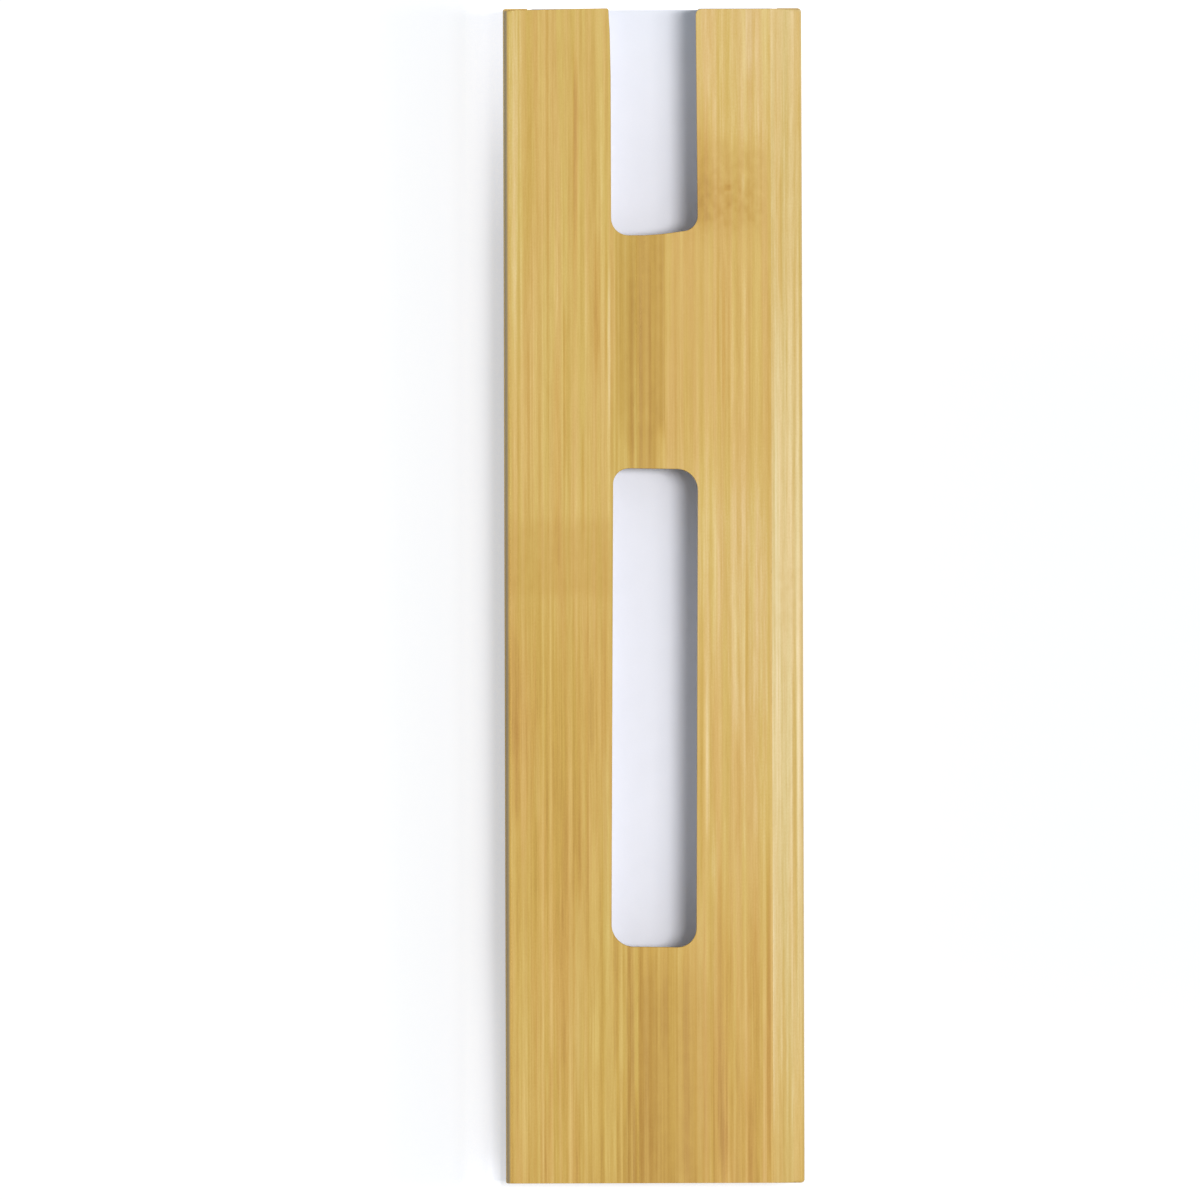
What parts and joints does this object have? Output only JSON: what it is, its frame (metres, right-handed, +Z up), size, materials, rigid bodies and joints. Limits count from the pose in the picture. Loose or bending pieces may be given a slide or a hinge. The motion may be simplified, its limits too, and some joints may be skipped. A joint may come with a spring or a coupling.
{
  "type": "pen case",
  "caption": "Flat bamboo sleeve with a thumb notch and a long window in its front panel, holding a white tray that slides out of the notched end and carries one pen.",
  "frame": {"origin": "centre of the case's footprint, on the surface that its back panel lies on", "axes": "+X across the case to the right of the front panel, +Y along it towards the notched open end, +Z up from the back panel to the front panel"},
  "size_m": [0.0432, 0.17, 0.018],
  "materials": {
    "bamboo_golden": "satin",
    "bamboo_pale": "satin",
    "white_board": "matte",
    "white_foam": "matte"
  },
  "bodies": {
    "sleeve": {"front_stave_left": "bamboo_golden", "front_stave_centre": "bamboo_golden", "front_stave_right": "bamboo_pale", "back_stave_left": "bamboo_pale", "back_stave_centre": "bamboo_golden", "back_stave_right": "bamboo_golden", "left_side_rail": "bamboo_golden", "right_side_rail": "bamboo_golden", "end_block": "bamboo_golden"},
    "drawer": {"tray": "white_board", "liner_left": "white_foam", "liner_right": "white_foam"}
  },
  "joints": [
    {"name": "tray_slide", "type": "slide", "parent": "sleeve", "child": "drawer", "axis": [0, 1, 0], "range_m": [0, 0.17]}
  ]
}
